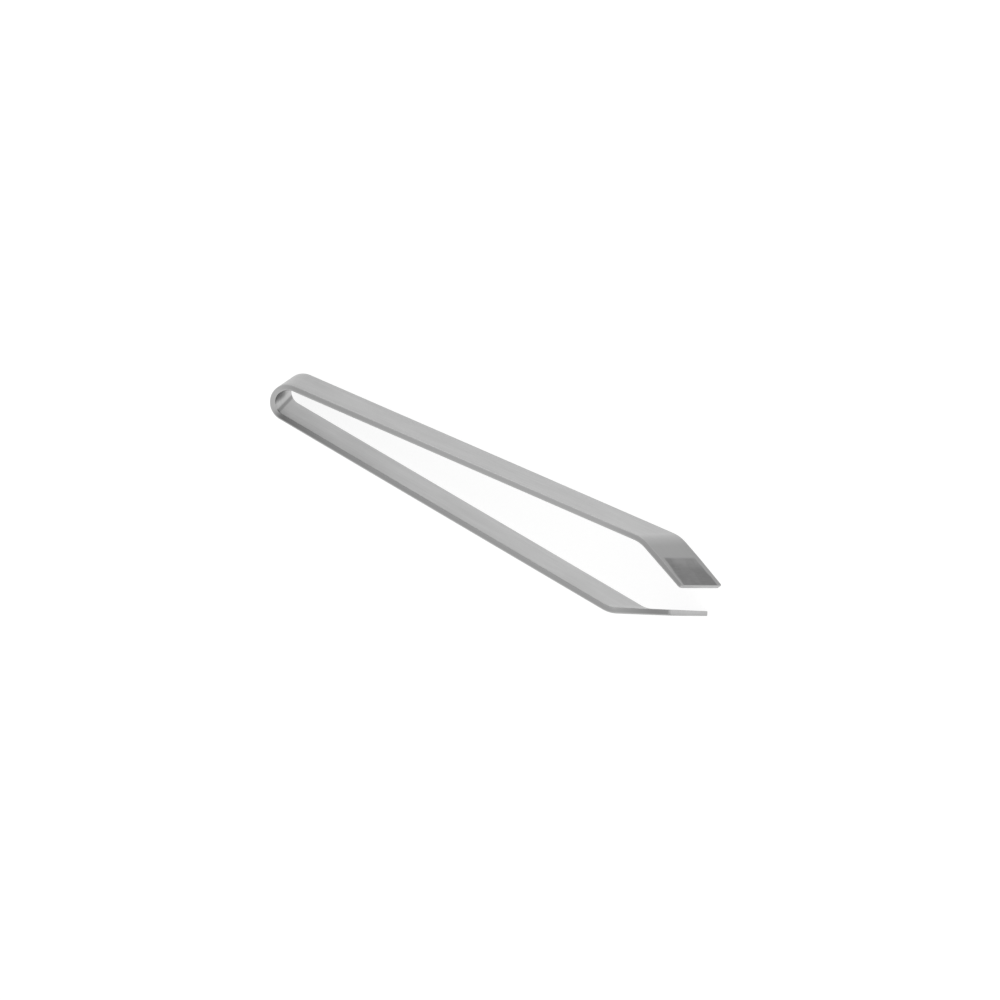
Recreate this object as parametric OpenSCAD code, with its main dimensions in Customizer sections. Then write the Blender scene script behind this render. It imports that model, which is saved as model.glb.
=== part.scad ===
// Spring tongs folded from one flat strip of stainless steel. The strip is bent
// round at its middle into a spring bow, its two ends run out as straight arms,
// and the last stretch of each arm is bent inwards to make a jaw. The tongs lie
// on the edges of the strip: the bow is at -X, the jaws are at +X, the arms open
// along Y, and Z runs across the width of the strip.

/* [Strip] */
// Width of the steel strip
strip_w = 14; // [8:0.5:20]
// Thickness of the steel strip
strip_t = 1.5; // [1:0.05:2]

/* [Spring bow] */
// Radius of the bow, measured to the middle of the strip
bow_r = 4; // [3:0.1:8]
// Angle by which each arm opens away from the middle plane, at rest
arm_open = 3.6; // [2:0.1:6]

/* [Arms] */
// Length of each arm from the bow to the bend line, along the middle of the strip
arm_len = 98; // [60:1:140]

/* [Jaws] */
// Length of each jaw from the bend line to its gripping edge, along the strip
jaw_len = 15.4; // [10:0.1:25]
// Angle by which each jaw is bent inwards
jaw_bend = 31; // [20:0.5:45]
// Angle between the bend line and a line square across the strip
bend_skew = 25; // [0:1:35]
// Radius of the bend, measured to the middle of the strip
bend_r = 6; // [3:0.5:12]
// Length of the face that is ground on the outside of each jaw
ground_len = 9; // [3:0.5:10]
// Thickness of the gripping edge, left by the grinding
edge_t = 1.2; // [0.5:0.05:1.5]

/* [Fits] */
// Gap left between the gripping edges when the arms are squeezed shut
shut_gap = 0.1; // [0.05:0.05:0.5]
// Hairline gap between the bow and each arm, which move on each other
seam_gap = 0.02; // [0.01:0.01:0.1]

/* [Hidden] */
$fn = 96;
bend_steps = 12;
half_w = strip_w / 2;
half_t = strip_t / 2;

// An arm is drawn in its own frame: X along it from the bow, Y outwards from the
// middle of the strip's thickness, Z up from the strip's lower edge. A point of
// the flat strip is found by its distance past the bend line, and by the place
// on the line parallel to the bend line that passes through it.
bend_from = -bend_r * jaw_bend * PI / 360;
bend_to = -bend_from;

// Place along a parallel line at which it meets the strip's edge at height z
function along(past, z) = (z - half_w - past * sin(bend_skew)) / cos(bend_skew);

// Point of the bent strip: past the bend line, along a parallel, and outwards
function bent(past, side, out) =
    let (turn = min(max((past - bend_from) / bend_r, 0) * 180 / PI, jaw_bend),
         before = min(past, bend_from),
         after = max(past - bend_to, 0),
         forward = before + (bend_r + out) * sin(turn) + after * cos(turn),
         inward = (bend_r + out) * (1 - cos(turn)) - out + after * sin(turn))
    [arm_len + forward * cos(bend_skew) - side * sin(bend_skew),
     -inward,
     half_w + forward * sin(bend_skew) + side * cos(bend_skew)];

// Slant of the gripping edge past the bend line's own, with which the two edges
// meet along their whole length when the arms are squeezed shut
function edge_slant(lean) =
    atan(sin(bend_skew) * sin(lean)
         / (sin(jaw_bend) * cos(lean) - cos(jaw_bend) * cos(bend_skew) * sin(lean)));

// Corner of a cut across the jaw, at a distance along it and a height on the strip
function cut_corner(reach, z, slant) =
    let (run = (z - half_w) / cos(bend_skew + slant))
    [reach * cos(bend_skew) - run * sin(slant),
     -reach * sin(bend_skew) + run * cos(slant)];

// Point of the arm's frame, placed in the tongs' frame with the arm at an angle
function placed(p, lean) =
    [p.x * cos(lean) - (p.y + bow_r) * sin(lean),
     p.x * sin(lean) + (p.y + bow_r) * cos(lean),
     p.z];

// Angle through which each arm is squeezed until the gap is closed, found by
// bringing the middle of the gripping edge to its place by the middle plane
grip = bent(jaw_len * cos(bend_skew), -jaw_len * sin(bend_skew), -half_t);
grip_reach = norm([grip.x, grip.y + bow_r]);
shut_lean = asin(shut_gap / 2 / grip_reach) - atan2(grip.y + bow_r, grip.x);
squeeze = arm_open - shut_lean;
slant = edge_slant(shut_lean);

// Cross-sections of the jaw: [past, side] at the lower and the upper edge, and
// how far out its outer face is
function row_at(past) = [[past, along(past, 0)], [past, along(past, strip_w)], half_t];
function row_cut(reach, out) =
    [cut_corner(reach, 0, slant), cut_corner(reach, strip_w, slant), out];
jaw_rows = concat(
    [for (i = [0 : bend_steps]) row_at(bend_from + (bend_to - bend_from) * i / bend_steps)],
    [row_cut(jaw_len - ground_len, half_t),
     row_cut(jaw_len, edge_t - half_t)]);
jaw_points = [
    for (r = jaw_rows)
        for (p = [[r[0], -half_t], [r[0], r[2]], [r[1], r[2]], [r[1], -half_t]])
            bent(p[0][0], p[0][1], p[1])];
last = len(jaw_rows) - 1;
jaw_faces = concat(
    [[0, 1, 2], [0, 2, 3]],
    [for (i = [0 : last - 1]) for (j = [0 : 3]) [4 * i + j, 4 * i + 4 + j, 4 * i + (j + 1) % 4]],
    [for (i = [0 : last - 1]) for (j = [0 : 3])
        [4 * i + 4 + j, 4 * i + 4 + (j + 1) % 4, 4 * i + (j + 1) % 4]],
    [[4 * last, 4 * last + 2, 4 * last + 1], [4 * last, 4 * last + 3, 4 * last + 2]]);

// The origin is under the middle of the tongs, level with their lowest corner
front = max([for (p = jaw_points) placed(p, arm_open).x]);
back = -bow_r - half_t;
bow_x = -(front + back) / 2;
edge_z = -min([for (p = jaw_points) p.z]);

// Turns a shape drawn in the arm's frame to its place in the tongs
module on_arm() {
    translate([bow_x, 0, edge_z])
        rotate([0, 0, arm_open])
            translate([0, bow_r, 0])
                children();
}

// The strip bent round through nearly half a turn, which springs the arms open
module spring_bow() {
    sweep = 180 - 2 * arm_open;
    color([0.68, 0.68, 0.69])
        translate([bow_x, 0, edge_z])
            rotate([0, 0, 90 + arm_open])
                rotate_extrude(angle = sweep)
                    translate([bow_r - half_t, 0])
                        square([strip_t, strip_w]);
}

// A straight length of strip, cut at its far end along the start of the bend
module arm() {
    upper = bent(bend_from, along(bend_from, strip_w), 0);
    lower = bent(bend_from, along(bend_from, 0), 0);
    translate([0, half_t, 0])
        rotate([90, 0, 0])
            linear_extrude(strip_t)
                polygon([[seam_gap, 0], [lower.x, 0], [upper.x, strip_w], [seam_gap, strip_w]]);
}

module left_arm() {
    color([0.74, 0.74, 0.75]) on_arm() arm();
}

module right_arm() {
    color([0.70, 0.70, 0.71]) mirror([0, 1, 0]) on_arm() arm();
}

// The end of the strip, bent inwards along a skewed line and ground to an edge
module jaw() {
    polyhedron(jaw_points, jaw_faces);
}

module left_jaw() {
    color([0.52, 0.52, 0.53]) on_arm() jaw();
}

module right_jaw() {
    color([0.56, 0.56, 0.57]) mirror([0, 1, 0]) on_arm() jaw();
}

spring_bow();
left_arm();
right_arm();
left_jaw();
right_jaw();
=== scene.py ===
import math
import bpy
import numpy as np
from mathutils import Matrix, Vector


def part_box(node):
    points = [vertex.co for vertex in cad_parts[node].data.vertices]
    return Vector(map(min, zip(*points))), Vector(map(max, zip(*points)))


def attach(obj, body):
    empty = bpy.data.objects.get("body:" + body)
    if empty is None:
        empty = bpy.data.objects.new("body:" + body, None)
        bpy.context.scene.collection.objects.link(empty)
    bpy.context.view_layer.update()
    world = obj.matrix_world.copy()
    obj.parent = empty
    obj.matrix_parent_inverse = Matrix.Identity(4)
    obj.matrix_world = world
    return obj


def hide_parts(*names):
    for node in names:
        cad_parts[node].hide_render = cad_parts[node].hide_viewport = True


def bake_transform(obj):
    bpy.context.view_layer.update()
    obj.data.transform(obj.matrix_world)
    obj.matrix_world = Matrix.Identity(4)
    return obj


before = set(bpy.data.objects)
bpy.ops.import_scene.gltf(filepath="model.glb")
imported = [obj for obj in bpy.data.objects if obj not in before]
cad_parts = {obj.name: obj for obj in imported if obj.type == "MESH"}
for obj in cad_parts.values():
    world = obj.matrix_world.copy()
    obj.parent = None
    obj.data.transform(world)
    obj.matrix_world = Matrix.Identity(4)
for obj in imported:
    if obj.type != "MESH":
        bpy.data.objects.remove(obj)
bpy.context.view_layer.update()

# ---- Camera and light table ---------------------------------------------------
# The tongs lie on a white light table and are seen from far off with a long lens,
# looking down steeply. The table itself glows, so hardly any shadow is left under
# the steel; the room above is a plain soft grey, with two large soft lights.
strip_width = 0.014
strip_thick = 0.0015
bow_radius = 0.004

bow_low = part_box("spring_bow")[0]
bow_centre = Vector((bow_low.x + bow_radius + strip_thick / 2, 0.0, bow_low.z))

camera_right = Vector((0.88005, 0.39107, -0.26941)).normalized()
camera_back = Vector((0.15522, 0.29927, 0.94146)).normalized()
camera_up = camera_back.cross(camera_right).normalized()
camera_right = camera_up.cross(camera_back)
lens_length = 500.0
sensor_width = 36.0
view_width = 0.246735
middle_right = 0.048526
middle_down = 0.026727
middle_nearer = 0.0151

looked_at = (bow_centre + middle_right * camera_right - middle_down * camera_up
             + middle_nearer * camera_back)
camera_data = bpy.data.cameras.new("long_lens")
camera_data.lens = lens_length
camera_data.sensor_width = sensor_width
camera_data.clip_start = 0.1
camera_data.clip_end = 20.0
camera = bpy.data.objects.new("camera", camera_data)
camera.matrix_world = Matrix.Translation(
    looked_at + camera_back * view_width * lens_length / sensor_width
) @ Matrix((camera_right, camera_up, camera_back)).transposed().to_4x4()
bpy.context.scene.collection.objects.link(camera)
bpy.context.scene.camera = camera
bpy.context.scene.view_settings.view_transform = "Standard"

table_size = 8.0
table_shade = 0.22
table_rough = 0.9
table_glow = 0.86
bpy.ops.object.select_all(action="DESELECT")
bpy.ops.mesh.primitive_plane_add(size=table_size, location=(0.0, 0.0, 0.0))
table = bpy.context.object
table.name = "light_table"


class Wire:
    """A socket in a finish's nodes. Arithmetic on wires adds the Math nodes for it."""

    def __init__(self, tree, socket=None):
        self.tree = tree
        self.socket = socket

    def node(self, kind, settings, inputs, output=0):
        """Adds a node, sets it up, fills or links its sockets, and gives one output."""
        made = self.tree.nodes.new(kind)
        for name, value in settings.items():
            if name == "stops":
                stops = made.color_ramp.elements
                stops[1].position = value[-1][0]
                for place, shade in value[1:-1]:
                    stops.new(place)
                for stop, (place, shade) in zip(stops, value):
                    stop.position = place
                    stop.color = (shade, shade, shade, 1.0)
            else:
                setattr(made, name, value)
        for name, value in inputs.items():
            if isinstance(value, Wire):
                self.tree.links.new(value.socket, made.inputs[name])
            else:
                made.inputs[name].default_value = value
        return Wire(self.tree, made.outputs[output]) if made.outputs else None

    def math(self, operation, first, second=0.0):
        return self.node("ShaderNodeMath", {"operation": operation}, {0: first, 1: second})

    def __add__(self, other):
        return self.math("ADD", self, other)

    def __radd__(self, other):
        return self.math("ADD", other, self)

    def __sub__(self, other):
        return self.math("SUBTRACT", self, other)

    def __rsub__(self, other):
        return self.math("SUBTRACT", other, self)

    def __mul__(self, other):
        return self.math("MULTIPLY", self, other)

    def __rmul__(self, other):
        return self.math("MULTIPLY", other, self)

    def __truediv__(self, other):
        return self.math("DIVIDE", self, other)

    def __abs__(self):
        return self.math("ABSOLUTE", self)

    def rise(self, low, high):
        """0 below low, 1 above high, and a soft step between them."""
        return self.node("ShaderNodeMapRange", {"interpolation_type": "SMOOTHSTEP"},
                         {0: self, 1: low, 2: high, 3: 0.0, 4: 1.0})

    def band(self, start, end):
        """1 between two soft steps, up over the start and down over the end."""
        return self.rise(*start) * (1.0 - self.rise(*end))


def new_finish(name):
    """A material with its nodes cleared, and the wire from which its nodes are made."""
    material = bpy.data.materials.new(name)
    material.use_nodes = True
    material.node_tree.nodes.clear()
    return material, Wire(material.node_tree)


table_finish, wire = new_finish("white_light_table")
surface = wire.node("ShaderNodeBsdfPrincipled", {}, {
    "Base Color": (table_shade, table_shade, table_shade, 1.0), "Roughness": table_rough,
    "Emission Color": (1.0, 1.0, 1.0, 1.0), "Emission Strength": table_glow})
wire.node("ShaderNodeOutputMaterial", {}, {"Surface": surface})
table.data.materials.append(table_finish)

room_grey = 0.85
room = bpy.data.worlds.new("soft_room")
room.use_nodes = True
walls = room.node_tree.nodes["Background"]
walls.inputs["Color"].default_value = (1.0, 1.0, 1.0, 1.0)
walls.inputs["Strength"].default_value = room_grey
bpy.context.scene.world = room


def soft_light(name, place, size, power):
    """A large square soft light that faces the tongs."""
    lamp = bpy.data.lights.new(name, "AREA")
    lamp.shape = "SQUARE"
    lamp.size = size
    lamp.energy = power
    holder = bpy.data.objects.new(name, lamp)
    holder.location = place
    holder.rotation_euler = (-Vector(place)).to_track_quat("-Z", "Y").to_euler()
    bpy.context.scene.collection.objects.link(holder)


soft_light("left_soft_light", place=(-0.6, 1.2, 1.1), size=1.2, power=6.0)
soft_light("right_soft_light", place=(1.3, -0.6, 1.0), size=0.9, power=2.5)

# ---- The steel strip ----------------------------------------------------------
# The tongs are one flat strip of stainless steel, 14 by 1.5 mm, sheared square and
# tumbled so that its corners are rounded. One half is cut, ground, folded and rolled
# here; the other half is its mirror image.
arm_length = 0.098
jaw_length = 0.0154
arm_open = math.radians(3.6)
jaw_bend = math.radians(31.0)
bend_skew = math.radians(25.0)
end_slant = math.radians(1.7397)
bend_radius = 0.006
ground_length = 0.009
edge_thick = 0.0012
corner_round = 0.00040
corner_segments = 5
edge_round_share = 0.30
tip_round = 0.0008
tip_segments = 6
sharp_angle = math.radians(30.0)
smooth_angle = math.radians(40.0)
spare_length = 0.006
hair = 1e-6

half_width = strip_width / 2
half_thick = strip_thick / 2
bow_length = bow_radius * (math.pi / 2 - arm_open)
bend_half = bend_radius * jaw_bend / 2
forward = Vector((math.cos(bend_skew), 0.0, math.sin(bend_skew)))
bend_line = Vector((-math.sin(bend_skew), 0.0, math.cos(bend_skew)))
to_end = Vector((math.cos(bend_skew + end_slant), 0.0, math.sin(bend_skew + end_slant)))
bend_middle = Vector((arm_length, 0.0, half_width))
end_middle = Vector((arm_length + jaw_length, 0.0, half_width))
ground_run = ground_length * to_end.x
upright = Vector((0.0, 0.0, 1.0))


def mark(piece, chosen, kind="VERT"):
    """Goes into edit mode with only the chosen vertices, edges or faces selected."""
    if bpy.context.mode != "OBJECT":
        bpy.ops.object.mode_set(mode="OBJECT")
    bpy.ops.object.select_all(action="DESELECT")
    piece.select_set(True)
    bpy.context.view_layer.objects.active = piece
    mesh = piece.data
    parts = {"VERT": mesh.vertices, "EDGE": mesh.edges, "FACE": mesh.polygons}
    for name, elements in parts.items():
        wanted = chosen if name == kind else np.zeros(len(elements), bool)
        elements.foreach_set("select", np.ascontiguousarray(wanted, bool))
    bpy.context.tool_settings.mesh_select_mode = [name == kind for name in parts]
    bpy.ops.object.mode_set(mode="EDIT")


def points(mesh):
    """The places of a mesh's vertices, one row for each."""
    places = np.zeros(len(mesh.vertices) * 3)
    mesh.vertices.foreach_get("co", places)
    return places.reshape(-1, 3)


def slice_across(place, normal, **options):
    """Cuts the whole piece in edit mode along a plane."""
    bpy.ops.mesh.select_all(action="SELECT")
    bpy.ops.mesh.bisect(plane_co=place, plane_no=normal, threshold=hair / 10, **options)


def turn(angle, axis, centre):
    """Turns what is selected by the right-hand rule about an axis through a centre."""
    side = axis.orthogonal().normalized()
    own_axes = Matrix((side, axis.cross(side), axis)).transposed()
    bpy.ops.transform.rotate(value=-angle, orient_axis="Z", orient_matrix=own_axes,
                             center_override=centre)


# The blank is sheared to its skewed end and ground on its outside to the thin edge
bpy.ops.object.select_all(action="DESELECT")
blank_long = bow_length + arm_length + jaw_length + spare_length
bpy.ops.mesh.primitive_cube_add(
    size=1.0, location=(blank_long / 2 - bow_length, 0.0, half_width),
    scale=(blank_long, strip_thick, strip_width))
strip = bpy.context.object
strip.name = "folded_strip"
bpy.ops.object.transform_apply(location=True, rotation=True, scale=True)
bpy.ops.object.mode_set(mode="EDIT")
slice_across(end_middle, to_end, clear_outer=True, use_fill=True)
ground_top = end_middle - ground_run * to_end + Vector((0.0, half_thick, 0.0))
ground_fall = strip_thick - edge_thick
ground_normal = (ground_run * Vector((0.0, 1.0, 0.0)) + ground_fall * to_end).normalized()
slice_across(ground_top, ground_normal, clear_outer=True, use_fill=True)

# The two corners of its end are rounded first, then every sharp edge but those round
# the middle of the bow; the gripping edge stays crisper than the long edges
bpy.ops.object.mode_set(mode="OBJECT")
mesh = strip.data


def edge_ends(mesh):
    """The places of the two ends of every edge."""
    ends = np.array([edge.vertices[:] for edge in mesh.edges])
    return points(mesh)[ends[:, 0]], points(mesh)[ends[:, 1]]


first, second = edge_ends(mesh)
across_thickness = abs(first[:, 1] - second[:, 1]) > strip_thick / 2
at_end = np.minimum(first[:, 0], second[:, 0]) > arm_length
mark(strip, across_thickness & at_end, "EDGE")
bpy.ops.mesh.bevel(offset=tip_round, segments=tip_segments, affect="EDGES", profile=0.5)
bpy.ops.mesh.select_all(action="DESELECT")
bpy.ops.mesh.edges_select_sharp(sharpness=sharp_angle)
bpy.ops.object.mode_set(mode="OBJECT")
sharp = np.array([edge.select for edge in mesh.edges])
first, second = edge_ends(mesh)
at_bow = np.maximum(first[:, 0], second[:, 0]) < -bow_length + hair
from_end = -((first + second) / 2 - np.array(end_middle)) @ np.array(to_end)
roundness = edge_round_share + (1 - edge_round_share) * np.clip(from_end / tip_round, 0, 1)
roundness[~sharp | at_bow] = 0.0
mesh.attributes.new("bevel_weight_edge", "FLOAT", "EDGE").data.foreach_set("value", roundness)
rounding = strip.modifiers.new("rounding", "BEVEL")
rounding.width = corner_round
rounding.segments = corner_segments
rounding.limit_method = "WEIGHT"
bpy.ops.object.modifier_apply(modifier="rounding")
mesh = strip.data
mark(strip, np.ones(len(mesh.vertices), bool))

# Lines across it, close together where it is rolled, sprung or folded
bow_count = 32
fold_count = 14
spring_end, spring_step, spring_count = 0.030, 0.0015, 20
arm_step, arm_count = 0.008, 7
jaw_lines = [0.004, 0.006]
bow_lines = [-bow_length * k / bow_count for k in range(bow_count + 1)]
spring_lines = [spring_step * k for k in range(1, spring_count + 1)]
arm_lines = [spring_end + arm_step * k for k in range(1, arm_count + 1)]
for along in bow_lines[:-1] + spring_lines + arm_lines:
    slice_across(Vector((along, 0.0, half_width)), Vector((1.0, 0.0, 0.0)))
fold_lines = [bend_half * (2 * k / fold_count - 1) for k in range(fold_count + 1)]
for past in fold_lines + jaw_lines:
    slice_across(bend_middle + past * forward, forward)
bpy.ops.object.mode_set(mode="OBJECT")

# Every vertex keeps its place on the flat blank, which the grain of the steel follows
flat = points(mesh)
mesh.attributes.new("blank", "FLOAT_VECTOR", "POINT").data.foreach_set("vector", flat.ravel())

# The jaw is folded inwards along its skewed line, from the last line back to the first
past_bend = (flat - np.array(bend_middle)) @ np.array(forward)
fold_step = jaw_bend / fold_count
for k in range(fold_count, -1, -1):
    centre = bend_middle + fold_lines[k] * forward
    if k < fold_count:
        mark(strip, past_bend > fold_lines[k] + hair)
        turn(-fold_step / 2, bend_line, centre)
    if k > 0:
        mark(strip, past_bend > fold_lines[k] - hair)
        turn(-fold_step / 2, bend_line, centre)

# The bow is rolled round in the same way, and the half is opened about its centre
bow_step = (math.pi / 2 - arm_open) / bow_count
for k in range(bow_count, -1, -1):
    centre = Vector((bow_lines[k], 0.0, half_width))
    if k < bow_count:
        mark(strip, flat[:, 0] < bow_lines[k] - hair)
        turn(bow_step / 2, upright, centre)
    if k > 0:
        mark(strip, flat[:, 0] < bow_lines[k] + hair)
        turn(bow_step / 2, upright, centre)
mark(strip, np.ones(len(flat), bool))
turn(arm_open, upright, Vector((0.0, -bow_radius, 0.0)))
bpy.ops.transform.translate(value=bow_centre + Vector((0.0, bow_radius, 0.0)))
bpy.ops.object.mode_set(mode="OBJECT")


def part_off(name, low, high, skewed_low=False, skewed_high=False):
    """A copy of the stretch of the strip between two lines, open where it is parted."""
    piece = bpy.data.objects.new(name, strip.data.copy())
    bpy.context.scene.collection.objects.link(piece)
    corners = [list(face.vertices) for face in piece.data.polygons]
    straight = np.array([flat[c, 0].mean() for c in corners])
    skewed = np.array([past_bend[c].mean() for c in corners])
    keep = (skewed if skewed_low else straight) > low
    keep &= (skewed if skewed_high else straight) < high
    mark(piece, ~keep, "FACE")
    bpy.ops.mesh.delete(type="FACE")
    bpy.ops.object.mode_set(mode="OBJECT")
    return piece


def close_ends(piece):
    """Closes the open ends of a piece and turns its faces outwards."""
    mark(piece, np.ones(len(piece.data.vertices), bool))
    bpy.ops.mesh.fill_holes(sides=0)
    bpy.ops.mesh.select_all(action="SELECT")
    bpy.ops.mesh.normals_make_consistent(inside=False)
    bpy.ops.object.mode_set(mode="OBJECT")


def other_side(piece, name):
    """The mirror image of a piece, with the grain running on round the bow."""
    image = bpy.data.objects.new(name, piece.data.copy())
    bpy.context.scene.collection.objects.link(image)
    mark(image, np.ones(len(image.data.vertices), bool))
    bpy.ops.transform.resize(value=(1.0, -1.0, 1.0), center_override=(0.0, 0.0, 0.0))
    bpy.ops.mesh.normals_make_consistent(inside=False)
    bpy.ops.object.mode_set(mode="OBJECT")
    on_blank = np.zeros(len(image.data.vertices) * 3)
    image.data.attributes["blank"].data.foreach_get("vector", on_blank)
    on_blank = on_blank.reshape(-1, 3)
    on_blank[:, 0] = -2 * bow_length - on_blank[:, 0]
    image.data.attributes["blank"].data.foreach_set("vector", on_blank.ravel())
    return image


def smooth(piece):
    """Shades the rounded corners smooth, and leaves the large faces flat."""
    mark(piece, np.ones(len(piece.data.vertices), bool))
    bpy.ops.object.mode_set(mode="OBJECT")
    bpy.ops.object.shade_smooth_by_angle(angle=smooth_angle)
    bpy.ops.object.modifier_add(type="WEIGHTED_NORMAL")
    flattener = piece.modifiers[-1]
    flattener.keep_sharp = True
    flattener.weight = 100
    bpy.ops.object.modifier_apply(modifier=flattener.name)


# The finish of the strip: satin, from a fine belt run along it, with faint longer
# streaks and slow changes of tone; the tones along its faces also hold painted shade
# and light. The sheared edges are duller, with painted shadow and painted light along
# them; the rounding on one side of them is painted bright as a highlight.
# Places are in millimetres: tones and painted shade by the distance along the strip,
# from the tip of the right jaw to the tip of the left, and grains as cycles along,
# outwards and across.
millimetre = 1000.0
inner_tones_and_shade = [(-128, 0.480), (-44, 0.472), (-32, 0.438), (-23, 0.455), (-15, 0.425),
               (-6, 0.440), (6, 0.450), (60, 0.460), (116, 0.460)]
outer_tones_and_shade = [(-128, 0.445), (-60, 0.430), (-14, 0.420), (-8, 0.375), (-3, 0.370),
               (3, 0.380), (12, 0.412), (60, 0.430), (100, 0.445), (116, 0.445)]
edge_tones_and_shade = [(-128, 0.300), (-118, 0.260), (-108, 0.375), (-80, 0.375), (-40, 0.330),
              (-25, 0.275), (-15, 0.205), (-12, 0.165), (-9.5, 0.480), (-4.5, 0.500),
              (0, 0.360), (12, 0.375), (40, 0.425), (84, 0.440), (96, 0.370), (116, 0.310)]
fine_grain, fine_share = (0.25, 2.0, 7.0), 0.55
long_grain, long_share = (0.04, 0.6, 1.6), 0.45
cloud_grain = (0.09, 0.3, 0.22)
streak_step, streak_shade = (0.30, 0.70), 0.93
cloud_step, cloud_shade = (0.35, 0.65), 0.97
face_step = (-0.3, 0.3)
edge_step = (0.03, 0.24)
inner_highlight_side, outer_highlight_side = (-0.62, -0.30), (0.30, 0.62)
highlight_side_turn = (-9.0, -4.0)
edge_highlight_tone = 0.52
satin_rough, streak_rough, cloud_rough, edge_rough = 0.27, 0.07, 0.06, 0.10
long_height = 0.5
grain_strength = 0.35
grain_depth = 0.00002


def strip_coordinates(wire):
    """The place on the flat blank in millimetres: along, outwards and across."""
    place = wire.node("ShaderNodeAttribute", {"attribute_name": "blank"}, {}, "Vector")
    scaled = wire.node("ShaderNodeVectorMath", {"operation": "SCALE"},
                       {0: place, "Scale": millimetre})
    return [wire.node("ShaderNodeSeparateXYZ", {}, {0: scaled}, name) for name in "XYZ"]


def tone_along(wire, place, tones):
    """A grey that changes from place to place, from the first tone to the last."""
    start, end = tones[0][0], tones[-1][0]
    stops = [((at - start) / (end - start), tone) for at, tone in tones]
    return wire.node("ShaderNodeValToRGB", {"stops": stops},
                     {0: (place - start) / (end - start)})


def noise(wire, places, grain, detail=2.0):
    """Cloudy noise from 0 to 1, with its own grain each way."""
    stretched_place = wire.node("ShaderNodeCombineXYZ", {}, {
        axis: place * cycles for axis, (place, cycles) in enumerate(zip(places, grain))})
    return wire.node(
        "ShaderNodeTexNoise", {"noise_dimensions": "3D"},
        {"Vector": stretched_place, "Scale": 1.0, "Detail": detail, "Roughness": 0.5}, 0)


def grey(tone):
    """A neutral steel colour."""
    return (tone, tone, tone, 1.0)


def fade(wire, factor, first, second):
    """One colour fading into another."""
    return wire.node("ShaderNodeMix", {"data_type": "RGBA"},
                     {0: factor, 6: first, 7: second}, 2)


def darken(wire, factor, colour, shade):
    """A colour multiplied by a shade where the factor is 1."""
    return wire.node("ShaderNodeMix", {"data_type": "RGBA", "blend_type": "MULTIPLY"},
                     {0: factor, 6: colour, 7: grey(shade)}, 2)


def from_edges(across):
    """How far a place is from the nearer long edge of the strip."""
    middle = half_width * millimetre
    return middle - abs(across - middle)


def satin(wire, along, outwards, across):
    """Colour, roughness and grain height of the satin strip."""
    places = (along, outwards, across)
    fine = noise(wire, places, fine_grain, 3.0)
    long_streaks = noise(wire, places, long_grain)
    clouds = noise(wire, places, cloud_grain)
    streaks = (fine * fine_share + long_streaks * long_share).rise(*streak_step)
    on_edge = 1.0 - from_edges(across).rise(*edge_step)
    # The tones along the faces hold painted shade and light as well as the steel's own tone.
    colour = fade(wire, outwards.rise(*face_step), tone_along(wire, along, inner_tones_and_shade),
                  tone_along(wire, along, outer_tones_and_shade))
    colour = darken(wire, streaks, colour, streak_shade)
    colour = darken(wire, clouds.rise(*cloud_step), colour, cloud_shade)
    # Painted shadow and painted light along the sheared edges, over their duller tone.
    colour = fade(wire, on_edge, colour, tone_along(wire, along, edge_tones_and_shade))
    # Painted highlight on the rounding on one side of each edge.
    on_left = along.rise(*highlight_side_turn)
    edge_highlight = (on_left * (1.0 - outwards.rise(*inner_highlight_side))
                 + (1.0 - on_left) * outwards.rise(*outer_highlight_side))
    colour = fade(wire, on_edge * edge_highlight, colour, grey(edge_highlight_tone))
    rough = (satin_rough + streaks * streak_rough + clouds * cloud_rough
             + on_edge * edge_rough)
    return colour, rough, fine + long_streaks * long_height


def steel(wire, colour, rough, height):
    """Ends a steel finish: bare metal with its grain as a bump."""
    grain = wire.node("ShaderNodeBump", {}, {
        "Strength": grain_strength, "Distance": grain_depth, "Height": height})
    surface = wire.node("ShaderNodeBsdfPrincipled", {}, {
        "Base Color": colour, "Metallic": 1.0, "Roughness": rough, "Normal": grain})
    wire.node("ShaderNodeOutputMaterial", {}, {"Surface": surface})


# ---- Spring bow ---------------------------------------------------------------
# The middle of the strip, rolled round a 6.5 mm pin through nearly half a turn. It is
# the spring that opens the tongs, and it is one piece of steel with both arms.
bow = part_off("rolled_bow", -blank_long, 0.0)
corners = [list(face.vertices) for face in bow.data.polygons]
bow_points = points(bow.data)
middle_cap = np.array([abs(bow_points[c, 1]).max() < hair for c in corners])
mark(bow, middle_cap, "FACE")
bpy.ops.mesh.delete(type="ONLY_FACE")
bpy.ops.object.mode_set(mode="OBJECT")
right_bow = other_side(bow, "right_bow")
bpy.ops.object.select_all(action="DESELECT")
right_bow.select_set(True)
bow.select_set(True)
bpy.context.view_layer.objects.active = bow
bpy.ops.object.join()
mark(bow, np.ones(len(bow.data.vertices), bool))
bpy.ops.mesh.remove_doubles(threshold=hair)
bpy.ops.object.mode_set(mode="OBJECT")
close_ends(bow)
smooth(bow)

# Painted reflections inside the bow: the inside is painted darkest in its deepest part,
# then a painted bright band, and a painted dark line across the strip on each side.
# The band and the line lean a little. Places are in millimetres from the middle of the bow.
bore_step = (-0.70, -0.55)
lean = 0.09
deep_end, deep_step, deep_shade = (0.7, 2.6), (3.0, 8.5), 0.17
line_start, line_end, line_shade = (2.50, 2.95), (3.45, 4.00), 0.56
bright_start, bright_end, bright_shade = (0.6, 1.5), (2.2, 2.8), 1.22
bow_finish, wire = new_finish("rolled_bow_steel")
along, outwards, across = strip_coordinates(wire)
colour, rough, height = satin(wire, along, outwards, across)
inside = 1.0 - outwards.rise(*bore_step)
from_middle = abs(along + bow_length * millimetre)
leaning = from_middle - across * lean
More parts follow.
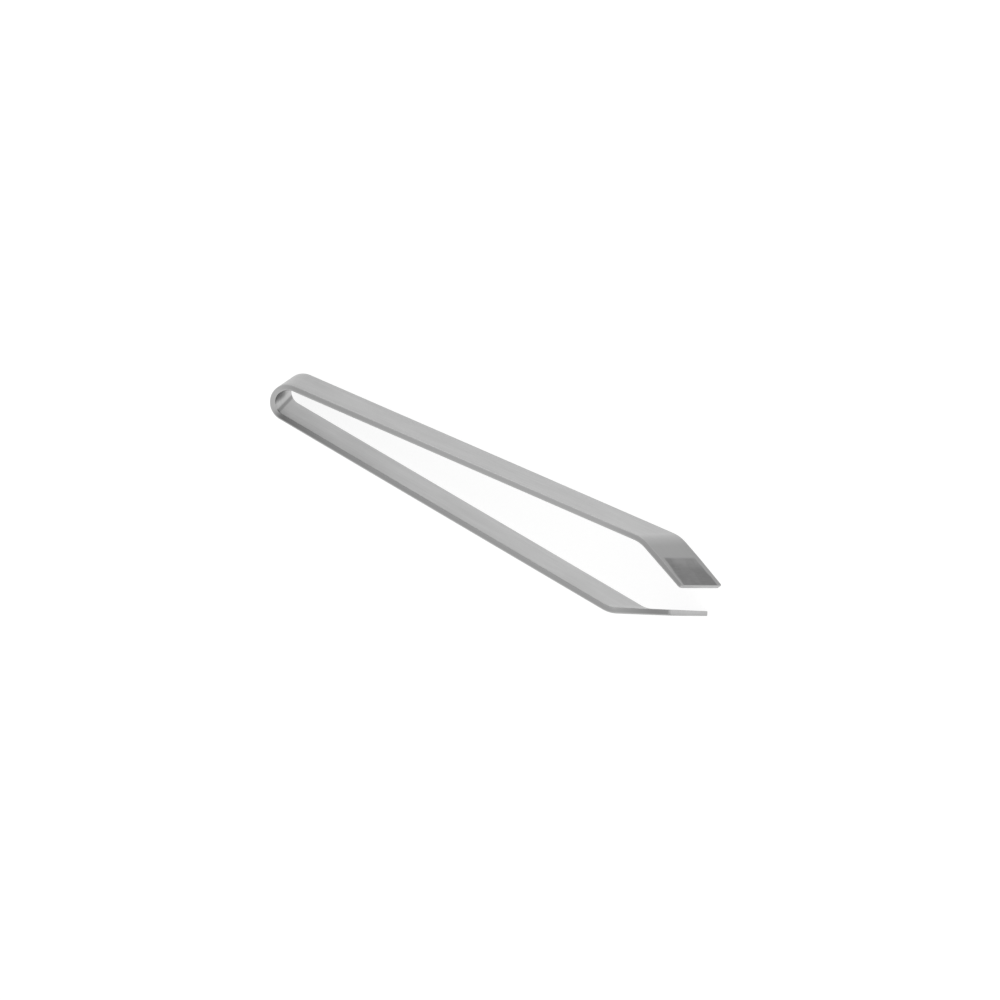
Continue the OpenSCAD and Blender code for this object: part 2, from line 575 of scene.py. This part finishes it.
# Painted reflections: a dark core, a dark line and a bright band on the inside.
painted_dark_core = (1.0 - from_middle.rise(*deep_end)) * across.rise(*deep_step)
colour = darken(wire, inside * painted_dark_core, colour, deep_shade)
colour = darken(wire, inside * leaning.band(line_start, line_end), colour, line_shade)
colour = darken(wire, inside * leaning.band(bright_start, bright_end), colour, bright_shade)
steel(wire, colour, rough, height)
bow.data.materials.append(bow_finish)
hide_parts("spring_bow")
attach(bow, "bow")

# ---- Arms ---------------------------------------------------------------------
# Two straight flat stretches of the strip between the bow and the folds. They flex
# next to the bow when the tongs are squeezed.
arm_finish, wire = new_finish("satin_arm_steel")
along, outwards, across = strip_coordinates(wire)
steel(wire, *satin(wire, along, outwards, across))

left_arm = part_off("left_arm_strip", 0.0, -bend_half, skewed_high=True)
close_ends(left_arm)
right_arm = other_side(left_arm, "right_arm_strip")
for arm, side, half in ((left_arm, 1.0, "left"), (right_arm, -1.0, "right")):
    smooth(arm)
    arm.data.materials.append(arm_finish)
    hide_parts(half + "_arm")
    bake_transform(arm)

# ---- Jaws ---------------------------------------------------------------------
# The ends of the strip, folded inwards along a skewed line and ground across on the
# outside to a 1.2 mm edge. The grinding is coarser and looks darker than the satin.
# Places are in millimetres, from the fold, the gripping edge and the strip's edges.
past_fold_tones = [(-3.0, 0.445), (-1.2, 0.425), (0.24, 0.370), (2.4, 0.310),
                   (6.6, 0.300), (9.0, 0.300)]
outer_step = (0.15, 0.40)
face_side_step, face_end_step = (0.10, 0.30), (-0.15, -0.03)
wheel_grain, wheel_step, wheel_shade = (7.0, 2.0, 0.35), (0.3, 0.7), 0.88
wheel_height = 1.6
patch_grain, patch_step, patch_share, patch_shade = (0.3, 0.3, 0.3), (0.4, 0.6), 0.8, 0.90
wander_reach = 0.9
ground_top_line = 8.0
ground_start, ground_end = (-8.25, -7.45), (-0.22, -0.06)
low_side, high_side, side_slope = (1.40, 2.00), (13.0, 13.7), 0.12
ground_tone, hollow_tone = 0.210, 0.250
hollow_end, hollow_side = (1.0, 3.6), (8.0, 12.0)
wear_slope = 0.06
ground_rough = 0.10
jaw_finish, wire = new_finish("ground_jaw_steel")
along, outwards, across = strip_coordinates(wire)
colour, rough, height = satin(wire, along, outwards, across)
on_half = abs(along + bow_length * millimetre) - bow_length * millimetre
past_fold = ((on_half - arm_length * millimetre) * forward.x
             + (across - half_width * millimetre) * forward.z)
past_edge = ((on_half - end_middle.x * millimetre) * to_end.x
             + (across - half_width * millimetre) * to_end.z)
beside = ((across - half_width * millimetre) * to_end.x
          - (on_half - end_middle.x * millimetre) * to_end.z)

# Before the ground face the outside is made darker past the fold
outer = outwards.rise(*outer_step)
face_only = (outer * from_edges(across).rise(*face_side_step)
             * (1.0 - past_edge.rise(*face_end_step)))
colour = fade(wire, face_only, colour, tone_along(wire, past_fold, past_fold_tones))

# The ground face has wheel marks across it, a lighter hollow where the wheel came on,
# worn patches, and sides that wander a little
wheel = noise(wire, (past_edge, outwards, beside), wheel_grain, 3.0)
patches = noise(wire, (past_edge, outwards, beside), patch_grain)
wander = (patches - 0.5) * wander_reach
down_face = past_edge + ground_top_line
ground = outer * (past_edge.band(ground_start, ground_end)
                  * (across + wander).rise(*low_side)
                  * (1.0 - (across - past_edge * side_slope + wander).rise(*high_side)))
hollow = (1.0 - down_face.rise(*hollow_end)) * (1.0 - across.rise(*hollow_side))
ground_colour = darken(wire, wheel.rise(*wheel_step), grey(ground_tone), wheel_shade)
ground_colour = fade(wire, hollow, ground_colour, grey(hollow_tone))
ground_colour = darken(wire, patches.rise(*patch_step) * patch_share
                       + down_face * wear_slope, ground_colour, patch_shade)
colour = fade(wire, ground, colour, ground_colour)
steel(wire, colour, rough + ground * ground_rough,
      height * (1.0 - ground) + wheel * ground * wheel_height)

left_jaw = part_off("left_jaw_strip", -bend_half, blank_long, skewed_low=True)
close_ends(left_jaw)
right_jaw = other_side(left_jaw, "right_jaw_strip")
for jaw, half in ((left_jaw, "left"), (right_jaw, "right")):
    smooth(jaw)
    jaw.data.materials.append(jaw_finish)
    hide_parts(half + "_jaw")
    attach(jaw, half + "_half")

# ---- Clearing away ------------------------------------------------------------
# The folded strip has been parted into the pieces above and is cleared away.
bpy.data.objects.remove(strip)
